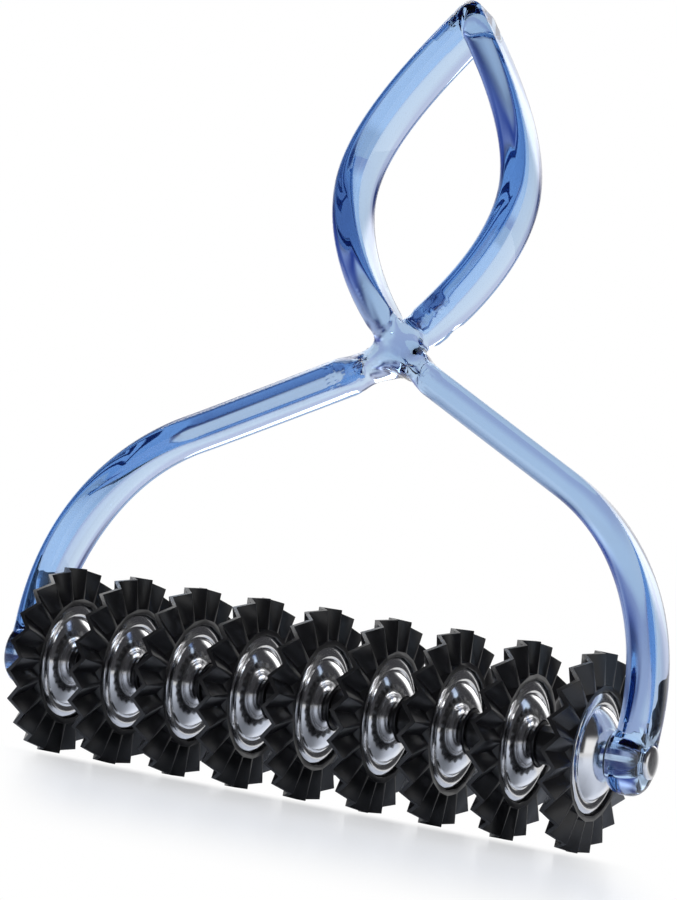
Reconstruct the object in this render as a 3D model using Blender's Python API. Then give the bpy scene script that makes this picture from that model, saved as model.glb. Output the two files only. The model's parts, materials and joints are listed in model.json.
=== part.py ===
"""Pasta cutting roller: nine fluted wheels turn on one axle under a looped bar handle.

Metres, +Z up. The wheels stand on z = 0, the axle runs along X, and the handle rises from it in the XZ plane.
"""

import math

import bmesh
import bpy
from mathutils import Vector
from mathutils.geometry import interpolate_bezier

# Row of wheels
WHEEL_COUNT = 9
WHEEL_PITCH = 0.016
WHEEL_RADIUS = 0.0208

# Clearances
SEAT_GAP = 0.0003
BORE_CLEARANCE = 0.0003
WELD_DISTANCE = 0.00003

# Fluted wheel
FLUTE_COUNT = 20
RIM_WIDTH = 0.004
RIM_WALL = 0.0011
COLLAR_RADIUS = 0.0141
COLLAR_WIDTH = 0.0044
COLLAR_GROOVE_DEPTH = 0.0016
LAND_WIDTH = 0.0009
LIP_WIDTH = 0.0011
WEB_THICKNESS = 0.0026
HUB_RADIUS = 0.0047
HUB_PROUD = 0.0003

# Each wheel's own turn on the axle, as a share of one flute
WHEEL_TURN_SHARES = (0.42, -0.25, 0.25, 0.25, -0.28, 0.0, -0.42, 0.39, -0.09)

# Pressed steel dome
DOME_SHEET = 0.0005
DOME_BRIM_WIDTH = 0.0024
DOME_RISE = 0.0031
DOME_SHOULDER_REACH_SHARE = 0.45
DOME_SHOULDER_RISE_SHARE = 0.65

# Axle, spacers and end caps
AXLE_RADIUS = 0.0024
SPACER_RADIUS = 0.0042
END_CAP_RADIUS = 0.00305
END_CAP_LENGTH = 0.001

# Handle bar
BAR_WIDTH = 0.0066
BAR_EDGE = 0.0013
FOOT_DEPTH = 0.0108
FOOT_RADIUS = 0.0064
BEND_DEPTH = 0.0123
ARM_DEPTH = 0.0107
LOOP_DEPTH = 0.0123
ROOT_DEPTH = 0.0098
ROOT_WIDTH_SHARE = 0.9
ROOT_FLARE_SHARE = 0.5
BOSS_RADIUS = 0.0074
BOSS_LENGTH = 0.0034
BOSS_PROUD = 0.0007

# Arms, with heights measured from the axle
BEND_START_HEIGHT = 0.0078
BEND_DEEPEST_HEIGHT = 0.03
SHOULDER_HEIGHT = 0.0546
SHOULDER_REACH_SHARE = 0.634
CROSS_HEIGHT = 0.0787
CROSS_OFFSET = 0.0008
HEAD_CLIP = 0.0021
HEAD_OVERRUN = 0.0028

# Loop, with rises measured from the crossing
STRAND_OFFSET = 0.0011
STRAND_ROOT_REACH = 0.012
STRAND_PULL_REACH = 0.0037
STRAND_PULL_RISE = 0.0031
STRAND_FULL_RISE = 0.0163
LOOP_WIDEST_RISE = 0.0381
LOOP_HALF_WIDTH = 0.02
TIP_INNER_RISE = 0.073
TIP_ROUND_RADIUS = 0.0028
TIP_SLOPE = math.radians(54.5)

# Handle curve pulls, as shares of the run that each end of a curve faces
FOOT_PULL_SHARE = 0.51
SHOULDER_PULL_SHARE = 0.37
STRAND_PULL_SHARE = 0.43
CROWN_PULL_SHARE = 0.36
TIP_PULL_SHARE = 0.245

# Facets
AXLE_FACETS = 16
SPACER_FACETS = 12
BOSS_FACETS = 32
ARM_BEND_POINTS = 11
ARM_RUN_POINTS = 5
STRAND_POINTS = 12
CROWN_POINTS = 8
TIP_POINTS = 5
SMOOTH_ANGLE = math.radians(35)

# Places worked out from the sizes
ROW_HALF = WHEEL_PITCH * (WHEEL_COUNT - 1) / 2
BORE_RADIUS = AXLE_RADIUS + BORE_CLEARANCE
WEB_HALF = WEB_THICKNESS / 2
DOME_SEAT = WEB_HALF + SEAT_GAP
DOME_TOP = DOME_SEAT + DOME_SHEET + DOME_RISE
HUB_HALF = DOME_TOP + HUB_PROUD
RECESS_RADIUS = COLLAR_RADIUS - LIP_WIDTH
SPACER_LENGTH = WHEEL_PITCH - 2 * HUB_HALF - 2 * SEAT_GAP
BOSS_INNER = ROW_HALF + HUB_HALF + SEAT_GAP
BOSS_OUTER = BOSS_INNER + BOSS_LENGTH
ARM_REACH = BOSS_INNER + BOSS_PROUD + BAR_WIDTH / 2
ARM_OUTER = ARM_REACH + BAR_WIDTH / 2
CAP_INNER = ARM_OUTER + SEAT_GAP
SHOULDER_REACH = ARM_REACH * SHOULDER_REACH_SHARE
ARM_SLOPE = (CROSS_HEIGHT - SHOULDER_HEIGHT) / SHOULDER_REACH
ARM_HALF_HEIGHT = BAR_WIDTH / 2 * math.hypot(1, ARM_SLOPE)
LOOP_WIDEST_HEIGHT = CROSS_HEIGHT + LOOP_WIDEST_RISE
TIP_INNER_HEIGHT = CROSS_HEIGHT + TIP_INNER_RISE
FLUTE_STEP = 2 * math.pi / FLUTE_COUNT


def clear_scene():
    """Remove every object that the scene holds."""
    for item in list(bpy.data.objects):
        bpy.data.objects.remove(item, do_unlink=True)


def make_material(name, colour, roughness, metallic=0.0, transmission=0.0):
    """A Principled material with one colour."""
    material = bpy.data.materials.new(name)
    material.use_nodes = True
    shader = material.node_tree.nodes["Principled BSDF"]
    shader.inputs["Base Color"].default_value = (*colour, 1.0)
    shader.inputs["Roughness"].default_value = roughness
    shader.inputs["Metallic"].default_value = metallic
    shader.inputs["Transmission Weight"].default_value = transmission
    return material


def finish_mesh(bm, name, material):
    """Close a bmesh into a mesh that is shaded smooth up to its sharp edges."""
    bmesh.ops.recalc_face_normals(bm, faces=bm.faces)
    mesh = bpy.data.meshes.new(name)
    bm.to_mesh(mesh)
    bm.free()
    mesh.materials.append(material)
    mesh.shade_smooth()
    mesh.set_sharp_from_angle(angle=SMOOTH_ANGLE)
    return mesh


def add_object(name, mesh, parent, location=(0, 0, 0), rotation=(0, 0, 0)):
    """Place a mesh as a named object under its parent."""
    item = bpy.data.objects.new(name, mesh)
    item.parent = parent
    item.location = location
    item.rotation_euler = rotation
    bpy.context.scene.collection.objects.link(item)
    return item


def add_guide(name, mesh, parent):
    """An object that only shapes another one."""
    item = add_object(name, mesh, parent)
    item.hide_render = True
    item.display_type = "WIRE"
    return item


# Turned pieces


def turned_mesh(name, profile, facets, material, hollow=True):
    """Turn a profile of (x, radius) points about the X axis.

    A hollow piece closes its profile on itself, and a solid one ends its profile on the axis.
    """
    bm = bmesh.new()
    points = [bm.verts.new((x, -radius, 0)) for x, radius in profile]
    followers = points[1:] + points[:1] if hollow else points[1:]
    edges = []
    for start, end in zip(points, followers):
        edges.append(bm.edges.new((start, end)))
    bmesh.ops.spin(
        bm,
        geom=points + edges,
        cent=(0, 0, 0),
        axis=(1, 0, 0),
        dvec=(0, 0, 0),
        angle=2 * math.pi,
        steps=facets,
        use_merge=True,
    )
    bmesh.ops.remove_doubles(bm, verts=bm.verts, dist=WELD_DISTANCE)
    return finish_mesh(bm, name, material)


def tube_mesh(name, outer_radius, inner_radius, length, facets, material):
    """A plain sleeve, centred on its own length."""
    half = length / 2
    profile = [(-half, inner_radius), (-half, outer_radius), (half, outer_radius), (half, inner_radius)]
    return turned_mesh(name, profile, facets, material)


def rod_mesh(name, radius, start, end, facets, material):
    """A solid rod along X from start to end."""
    bm = bmesh.new()
    rim = []
    for step in range(facets):
        turn = 2 * math.pi * step / facets
        rim.append(bm.verts.new((start, -radius * math.cos(turn), radius * math.sin(turn))))
    base = bm.faces.new(rim)
    grown = bmesh.ops.extrude_face_region(bm, geom=[base], use_keep_orig=True)
    moved = [item for item in grown["geom"] if isinstance(item, bmesh.types.BMVert)]
    bmesh.ops.translate(bm, verts=moved, vec=(end - start, 0, 0))
    return finish_mesh(bm, name, material)


def eased_disc_mesh(name, radius, start, end, edge, facets, material):
    """A solid disc along X whose rims are eased."""
    profile = [
        (start, 0),
        (start, radius - edge),
        (start + edge, radius),
        (end - edge, radius),
        (end, radius - edge),
        (end, 0),
    ]
    return turned_mesh(name, profile, facets, material, hollow=False)


def dome_mesh(material):
    """The pressed dome: a flat brim, then a slope up to the hole round the hub."""
    hole = HUB_RADIUS + SEAT_GAP
    outer = RECESS_RADIUS - SEAT_GAP
    brim_inner = outer - DOME_BRIM_WIDTH
    brim_face = DOME_SEAT + DOME_SHEET
    shoulder_radius = brim_inner - (brim_inner - hole) * DOME_SHOULDER_REACH_SHARE
    shoulder_x = brim_face + DOME_RISE * DOME_SHOULDER_RISE_SHARE
    profile = [
        (DOME_SEAT, outer),
        (brim_face, outer),
        (brim_face, brim_inner),
        (shoulder_x, shoulder_radius),
        (DOME_TOP, hole),
        (DOME_TOP - DOME_SHEET, hole),
        (DOME_SEAT, brim_inner - DOME_SHEET),
    ]
    return turned_mesh("steel_dome", profile, FLUTE_COUNT, material)


# Fluted wheel


def wheel_point(radius, step, x):
    """A point at a number of flute steps round from the front."""
    turn = FLUTE_STEP * step
    return (x, -radius * math.cos(turn), radius * math.sin(turn))


def strip_faces(row, other_row):
    """Four-sided faces between two rows of points that run alike."""
    faces = []
    for index in range(len(row) - 1):
        faces.append([row[index], row[index + 1], other_row[index + 1], other_row[index]])
    return faces


def wheel_face(side):
    """The faces of one flute on one side of the wheel, as lists of points.

    The right side (side 1) has its lands on whole steps and the left side (side -1) on half steps.
    """
    collar = side * COLLAR_WIDTH / 2
    groove = side * (COLLAR_WIDTH / 2 - COLLAR_GROOVE_DEPTH)
    peak = side * RIM_WIDTH / 2
    valley = side * (RIM_WALL - RIM_WIDTH / 2)
    floor = side * WEB_HALF
    hub = side * HUB_HALF
    land_step = math.asin(LAND_WIDTH / 2 / COLLAR_RADIUS) / FLUTE_STEP
    first = 0 if side > 0 else 1 / 2
    land_low = wheel_point(COLLAR_RADIUS, first - land_step, collar)
    land_high = wheel_point(COLLAR_RADIUS, first + land_step, collar)
    next_low = wheel_point(COLLAR_RADIUS, first + 1 - land_step, collar)
    rim_peak = wheel_point(WHEEL_RADIUS, first, peak)
    rim_valley = wheel_point(WHEEL_RADIUS, first + 1 / 2, valley)
    next_peak = wheel_point(WHEEL_RADIUS, first + 1, peak)
    groove_foot = wheel_point(COLLAR_RADIUS, first + 1 / 2, groove)
    faces = [
        [land_low, land_high, rim_peak],
        [land_high, groove_foot, rim_valley, rim_peak],
        [next_low, next_peak, rim_valley, groove_foot],
        [land_high, next_low, groove_foot],
    ]
    lip = [wheel_point(RECESS_RADIUS, step, collar) for step in (0, 1)]
    if side > 0:
        faces.append([lip[0], land_low, land_high])
        faces.append([lip[0], land_high, next_low, lip[1]])
    else:
        faces.append([lip[0], land_low, land_high, lip[1]])
        faces.append([lip[1], land_high, next_low])
    recess = [
        (RECESS_RADIUS, collar),
        (RECESS_RADIUS, floor),
        (HUB_RADIUS, floor),
        (HUB_RADIUS, hub),
        (BORE_RADIUS, hub),
    ]
    rows = [[wheel_point(radius, step, x) for radius, x in recess] for step in (0, 1)]
    return faces + strip_faces(*rows)


def rim_and_bore_faces():
    """The faces of one flute that join the two sides: the zig-zag rim and the bore."""
    peak = RIM_WIDTH / 2
    valley = RIM_WIDTH / 2 - RIM_WALL
    right_edge = [(0, peak), (1 / 2, -valley), (1, peak)]
    left_edge = [(0, valley), (1 / 2, -peak), (1, valley)]
    rim = [[wheel_point(WHEEL_RADIUS, step, x) for step, x in edge] for edge in (right_edge, left_edge)]
    bore = [[wheel_point(BORE_RADIUS, step, x) for step in (0, 1)] for x in (HUB_HALF, -HUB_HALF)]
    return strip_faces(*rim) + strip_faces(*bore)


def wheel_mesh(material):
    """One flute of the wheel, spun round the axle and welded into a closed body."""
    bm = bmesh.new()
    for points in wheel_face(1) + wheel_face(-1) + rim_and_bore_faces():
        bm.faces.new([bm.verts.new(point) for point in points])
    bmesh.ops.spin(
        bm,
        geom=list(bm.verts) + list(bm.edges) + list(bm.faces),
        cent=(0, 0, 0),
        axis=(1, 0, 0),
        dvec=(0, 0, 0),
        angle=2 * math.pi - FLUTE_STEP,
        steps=FLUTE_COUNT - 1,
        use_duplicate=True,
    )
    bmesh.ops.remove_doubles(bm, verts=bm.verts, dist=WELD_DISTANCE)
    return finish_mesh(bm, "cutter_wheel", material)


# Handle bar


def section_ring(bm, station):
    """The eight corners of the bar where a station cuts it.

    A station is (lower, upper, depth, y): two points in the XZ plane, the bar's depth and its middle in Y.
    """
    lower, upper, depth, middle = station
    along = (upper - lower).normalized() * BAR_EDGE
    front = middle - depth / 2
    back = middle + depth / 2
    corners = [
        (lower, front + BAR_EDGE),
        (lower, back - BAR_EDGE),
        (lower + along, back),
        (upper - along, back),
        (upper, back - BAR_EDGE),
        (upper, front + BAR_EDGE),
        (upper - along, front),
        (lower + along, front),
    ]
    return [bm.verts.new((place.x, y, place.y)) for place, y in corners]


def bar_mesh(name, stations, material):
    """Sweep the bar's section through its stations."""
    bm = bmesh.new()
    rings = [section_ring(bm, station) for station in stations]
    bm.faces.new(rings[0])
    bm.faces.new(list(reversed(rings[-1])))
    for ring, following in zip(rings, rings[1:]):
        edges = []
        for loop in (ring, following):
            for start, end in zip(loop, loop[1:] + loop[:1]):
                edge = bm.edges.get((start, end)) or bm.edges.new((start, end))
                edges.append(edge)
        bmesh.ops.bridge_loops(bm, edges=edges)
    return finish_mesh(bm, name, material)


def square_stations(route, widths, depths, middles):
    """Stations that cut a route of XZ points squarely."""
    stations = []
    last = len(route) - 1
    for index, place in enumerate(route):
        ahead = route[min(index + 1, last)] - route[max(index - 1, 0)]
        side = Vector((-ahead.y, ahead.x)).normalized() * (widths[index] / 2)
        stations.append((place - side, place + side, depths[index], middles[index]))
    return stations


def arm_line(reach):
    """Height of the arm's straight run at a distance from the middle."""
    return CROSS_HEIGHT - ARM_SLOPE * reach


def blend(low, high, share):
    """A value between two others, held at its ends."""
    return low + (high - low) * min(max(share, 0), 1)


def arm_depth(height):
    """The arm is deepest in its bend and slimmer at its foot and its straight run."""
    if height < BEND_DEEPEST_HEIGHT:
        return blend(FOOT_DEPTH, BEND_DEPTH, height / BEND_DEEPEST_HEIGHT)
    slimming = (height - BEND_DEEPEST_HEIGHT) / (SHOULDER_HEIGHT - BEND_DEEPEST_HEIGHT)
    return blend(BEND_DEPTH, ARM_DEPTH, slimming)


def arm_stations():
    """The right arm from the axle up to its end just past the middle of the crossing."""
    foot = Vector((ARM_REACH, 0))
    bend_start = Vector((ARM_REACH, BEND_START_HEIGHT))
    shoulder = Vector((SHOULDER_REACH, SHOULDER_HEIGHT))
    foot_pull = Vector((ARM_REACH, SHOULDER_HEIGHT * FOOT_PULL_SHARE))
    pull_reach = SHOULDER_REACH * (1 + SHOULDER_PULL_SHARE)
    shoulder_pull = Vector((pull_reach, arm_line(pull_reach)))
    route = [foot] + interpolate_bezier(bend_start, foot_pull, shoulder_pull, shoulder, ARM_BEND_POINTS)
    clip_reach = HEAD_CLIP / ARM_SLOPE
    run_end = Vector((2 * clip_reach, arm_line(2 * clip_reach)))
    for step in range(1, ARM_RUN_POINTS + 1):
        route.append(shoulder.lerp(run_end, step / ARM_RUN_POINTS))
    depths = []
    middles = []
    for place in route:
        cross_share = max(1 - place.x / SHOULDER_REACH, 0)
        depths.append(arm_depth(place.y))
        middles.append(-CROSS_OFFSET * math.sqrt(cross_share))
    stations = square_stations(route, [BAR_WIDTH] * len(route), depths, middles)
    head_top = arm_line(clip_reach) + ARM_HALF_HEIGHT
    for reach in (clip_reach, -HEAD_OVERRUN):
        lower = Vector((reach, arm_line(reach) - ARM_HALF_HEIGHT))
        stations.append((lower, Vector((reach, head_top)), ARM_DEPTH, -CROSS_OFFSET))
    return stations


def mirrored(stations):
    """The same bar on the other side, and behind instead of in front."""
    result = []
    for lower, upper, depth, middle in stations:
        result.append((Vector((-lower.x, lower.y)), Vector((-upper.x, upper.y)), depth, -middle))
    return result


def strand_route():
    """Half of the loop's middle line, from inside the right arm up the left side to the tip."""
    root = Vector((STRAND_ROOT_REACH, arm_line(STRAND_ROOT_REACH)))
    root_pull = Vector((-STRAND_PULL_REACH, CROSS_HEIGHT + STRAND_PULL_RISE))
    widest = Vector((-LOOP_HALF_WIDTH, LOOP_WIDEST_HEIGHT))
    widest_pull = widest - Vector((0, LOOP_WIDEST_RISE * STRAND_PULL_SHARE))
    route = interpolate_bezier(root, root_pull, widest_pull, widest, STRAND_POINTS)
    tip = Vector((0, TIP_INNER_HEIGHT + BAR_WIDTH / 2 / math.cos(TIP_SLOPE)))
    crown_rise = tip.y - LOOP_WIDEST_HEIGHT
    crown_pull = widest + Vector((0, crown_rise * CROWN_PULL_SHARE))
    tip_pull = tip - Vector((math.cos(TIP_SLOPE), math.sin(TIP_SLOPE))) * crown_rise * TIP_PULL_SHARE
    return route + interpolate_bezier(widest, crown_pull, tip_pull, tip, CROWN_POINTS)[1:]


def strand_stations():
    """Stations of half the loop, ended at the tip by a fan about its sharp inner corner."""
    route = strand_route()
    widths = []
    depths = []
    middles = []
    root_height = route[0].y
    for place in route:
        share = (place.y - root_height) / (CROSS_HEIGHT + STRAND_FULL_RISE - root_height)
        widths.append(BAR_WIDTH * blend(ROOT_WIDTH_SHARE, 1, share / ROOT_FLARE_SHARE))
        depths.append(blend(ROOT_DEPTH, LOOP_DEPTH, share))
        rise_share = (place.y - root_height) / (LOOP_WIDEST_HEIGHT - root_height)
        middles.append(-STRAND_OFFSET * blend(1, 0, rise_share))
    stations = square_stations(route, widths, depths, middles)
    corner = Vector((0, TIP_INNER_HEIGHT))
    fan_start = BAR_WIDTH * math.sin(TIP_SLOPE)
    while stations[-1][1].x > -fan_start:
        stations.pop()
    last_lower = stations[-1][0]
    sharp_height = TIP_INNER_HEIGHT + BAR_WIDTH / math.cos(TIP_SLOPE)
    centre = Vector((0, sharp_height - TIP_ROUND_RADIUS / math.cos(TIP_SLOPE)))
    for step in range(1, TIP_POINTS + 1):
        share = step / TIP_POINTS
        turn = math.radians(90) + TIP_SLOPE * (1 - share)
        upper = centre + Vector((math.cos(turn), math.sin(turn))) * TIP_ROUND_RADIUS
        stations.append((last_lower.lerp(corner, share), upper, LOOP_DEPTH, 0))
    return stations


def loop_stations():
    """The whole loop, from inside the right arm round the tip to inside the left arm."""
    half = strand_stations()
    return half + mirrored(reversed(half[:-1]))


def add_handle(material, axle):
    """The handle: the loop, arms, feet and bosses joined into one body, with the axle's bores cut."""
    handle = add_object("handle_frame", bar_mesh("handle_loop", loop_stations(), material), axle)
    arm = arm_stations()
    foot_inner = ARM_OUTER - BAR_WIDTH
    joins = [
        bar_mesh("arm_right", arm, material),
        bar_mesh("arm_left", mirrored(arm), material),
        eased_disc_mesh("foot_right", FOOT_RADIUS, foot_inner, ARM_OUTER, BAR_EDGE, BOSS_FACETS, material),
        eased_disc_mesh("foot_left", FOOT_RADIUS, -ARM_OUTER, -foot_inner, BAR_EDGE, BOSS_FACETS, material),
        rod_mesh("boss_right", BOSS_RADIUS, BOSS_INNER, BOSS_OUTER, BOSS_FACETS, material),
        rod_mesh("boss_left", BOSS_RADIUS, -BOSS_OUTER, -BOSS_INNER, BOSS_FACETS, material),
    ]
    bore_end = ARM_OUTER + END_CAP_LENGTH
    bore = rod_mesh("bore", BORE_RADIUS, -bore_end, bore_end, AXLE_FACETS, material)
    for mesh in joins:
        union = handle.modifiers.new("join " + mesh.name, "BOOLEAN")
        union.operation = "UNION"
        union.object = add_guide(mesh.name + "_guide", mesh, axle)
        union.use_self = True
    cut = handle.modifiers.new("cut bores", "BOOLEAN")
    cut.operation = "DIFFERENCE"
    cut.object = add_guide("bore_guide", bore, axle)
    return handle


def add_wheels(black, steel, axle):
    """Nine wheels with a dome on each side, each on its own turning centre on the axle."""
    wheel = wheel_mesh(black)
    dome = dome_mesh(steel)
    for index in range(WHEEL_COUNT):
        number = str(index + 1)
        centre = bpy.data.objects.new("wheel_centre_" + number, None)
        centre.parent = axle
        centre.location.x = index * WHEEL_PITCH - ROW_HALF
        centre.rotation_euler.x = -FLUTE_STEP * WHEEL_TURN_SHARES[index % len(WHEEL_TURN_SHARES)]
        bpy.context.scene.collection.objects.link(centre)
        add_object("cutter_wheel_" + number, wheel, centre)
        add_object("dome_right_" + number, dome, centre)
        add_object("dome_left_" + number, dome, centre, rotation=(0, 0, math.pi))


def add_axle_pieces(black, steel, axle):
    """The rod through everything, a cap on each end and the spacers between the hubs."""
    add_object("axle_rod", rod_mesh("axle_rod", AXLE_RADIUS, -ARM_OUTER, ARM_OUTER, AXLE_FACETS, steel), axle)
    cap = rod_mesh("end_cap", END_CAP_RADIUS, CAP_INNER, CAP_INNER + END_CAP_LENGTH, AXLE_FACETS, steel)
    add_object("end_cap_right", cap, axle)
    add_object("end_cap_left", cap, axle, rotation=(0, 0, math.pi))
    spacer = tube_mesh("spacer", SPACER_RADIUS, BORE_RADIUS, SPACER_LENGTH, SPACER_FACETS, black)
    for index in range(WHEEL_COUNT - 1):
        place = (index + 1 / 2) * WHEEL_PITCH - ROW_HALF
        add_object("spacer_" + str(index + 1), spacer, axle, location=(place, 0, 0))


def main():
    clear_scene()
    blue = make_material("clear_blue_plastic", (0.3, 0.5, 0.9), roughness=0.08, transmission=0.9)
    black = make_material("black_plastic", (0.012, 0.012, 0.014), roughness=0.3)
    steel = make_material("polished_steel", (0.75, 0.75, 0.76), roughness=0.12, metallic=1.0)
    axle = bpy.data.objects.new("axle_centre", None)
    axle.location.z = WHEEL_RADIUS
    bpy.context.scene.collection.objects.link(axle)
    add_handle(blue, axle)
    add_axle_pieces(black, steel, axle)
    add_wheels(black, steel, axle)


if __name__ == "__main__":
    main()
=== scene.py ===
"""Pasta cutting roller: a clear blue looped handle over nine black fluted wheels with steel domes.

Metres, +Z up. The wheels stand on z = 0, the axle runs along X and the handle rises in the XZ plane.
"""

import json
import math

import bmesh
import bpy
from bpy.props import FloatProperty, FloatVectorProperty, IntProperty, PointerProperty
from bpy.types import Operator, Panel, PropertyGroup
from mathutils import Matrix, Vector
from mathutils.geometry import interpolate_bezier

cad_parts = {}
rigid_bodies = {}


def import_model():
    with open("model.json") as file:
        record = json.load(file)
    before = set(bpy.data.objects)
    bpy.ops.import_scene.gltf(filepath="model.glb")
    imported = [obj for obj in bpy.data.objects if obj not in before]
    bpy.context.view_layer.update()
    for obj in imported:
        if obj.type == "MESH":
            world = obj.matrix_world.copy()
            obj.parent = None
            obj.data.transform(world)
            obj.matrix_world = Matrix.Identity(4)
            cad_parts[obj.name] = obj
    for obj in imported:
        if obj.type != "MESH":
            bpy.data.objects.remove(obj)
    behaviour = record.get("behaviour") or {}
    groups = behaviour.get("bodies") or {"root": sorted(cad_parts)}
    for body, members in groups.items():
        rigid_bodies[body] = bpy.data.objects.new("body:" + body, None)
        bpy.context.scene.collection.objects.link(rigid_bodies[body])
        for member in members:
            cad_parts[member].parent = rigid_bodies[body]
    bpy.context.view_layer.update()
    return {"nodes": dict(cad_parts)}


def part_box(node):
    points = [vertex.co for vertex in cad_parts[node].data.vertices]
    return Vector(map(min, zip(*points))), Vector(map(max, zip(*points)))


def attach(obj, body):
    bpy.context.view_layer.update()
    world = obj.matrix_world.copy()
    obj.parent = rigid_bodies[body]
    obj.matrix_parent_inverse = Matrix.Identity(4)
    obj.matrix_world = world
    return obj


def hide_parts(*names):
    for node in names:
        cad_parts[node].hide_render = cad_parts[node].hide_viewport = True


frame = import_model()

bl_info = {
    "name": "Pasta cutting roller",
    "version": (1, 0, 0),
    "blender": (4, 5, 0),
    "location": "3D View > Sidebar > Roller",
    "description": "Dresses the frame of a pasta cutting roller with its handle, wheels, domes and stage",
    "category": "Add Mesh",
}

# Places read from the frame
WHEEL_COUNT = sum(1 for name in frame["nodes"] if name.startswith("cutter_wheel_"))
AXLE_LOW, AXLE_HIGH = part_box("axle_rod")
AXLE_HEIGHT = (AXLE_LOW.z + AXLE_HIGH.z) / 2
ARM_OUTER = AXLE_HIGH.x
WHEEL_LOW, WHEEL_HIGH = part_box("cutter_wheel_1")
HUB_HALF = (WHEEL_HIGH.x - WHEEL_LOW.x) / 2
DOME_LOW, DOME_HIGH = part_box("dome_right_1")
DOME_RADIUS = (DOME_HIGH.y - DOME_LOW.y) / 2
LAST_DOME_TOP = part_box("dome_right_" + str(WHEEL_COUNT))[1].x
CAP_LOW, CAP_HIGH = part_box("end_cap_right")

WELD_DISTANCE = 0.00001

# A place off every axis of the roller, from which the parts of a mesh are put in order
ORDER_PLACE = (0.31, -0.17, -0.23)

# How the joints of the bar are softened
JOINT_HALVINGS = 3
LONG_EDGE_SHARE = 1.5
CREASE_ANGLE = math.radians(25)
CREASE_SPREAD = 3
SMOOTH_FACTOR = 0.5

# Rounds on the copies of frame nodes, and on the rims of a disc
FLAT_ANGLE = math.radians(0.6)
ROUND_ANGLE = math.radians(24)
ROUND_SEGMENTS = 2
RIM_SEGMENTS = 5


def length(label, text, default):
    """A size in metres."""
    return FloatProperty(name=label, description=text, default=default, unit="LENGTH", precision=5)


def share(label, text, default):
    """A share of the size that the name says."""
    return FloatProperty(name=label, description=text, default=default, subtype="FACTOR")


def turn(label, text, default):
    """An angle, given in degrees and kept in radians."""
    return FloatProperty(name=label, description=text, default=math.radians(default), subtype="ANGLE")


def window_edges(label, text, default):
    """Left and right bearing from straight behind, and low and high elevation, of a part of the studio."""
    angles = tuple(math.radians(angle) for angle in default)
    return FloatVectorProperty(name=label, description=text, default=angles, size=4, unit="ROTATION")


def table_patch(label, text, default):
    """Middle, and half sizes along X and Y, of a part of the table."""
    return FloatVectorProperty(name=label, description=text, default=default, size=4, unit="LENGTH")


def level(label, text, default):
    """A brightness, where 1 is white."""
    return FloatProperty(name=label, description=text, default=default)


def count(label, text, default):
    """A number of pieces, points or facets."""
    return IntProperty(name=label, description=text, default=default, min=1)


def colour(label, text, default):
    """A linear colour."""
    return FloatVectorProperty(name=label, description=text, default=default, subtype="COLOR", size=3)


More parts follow.
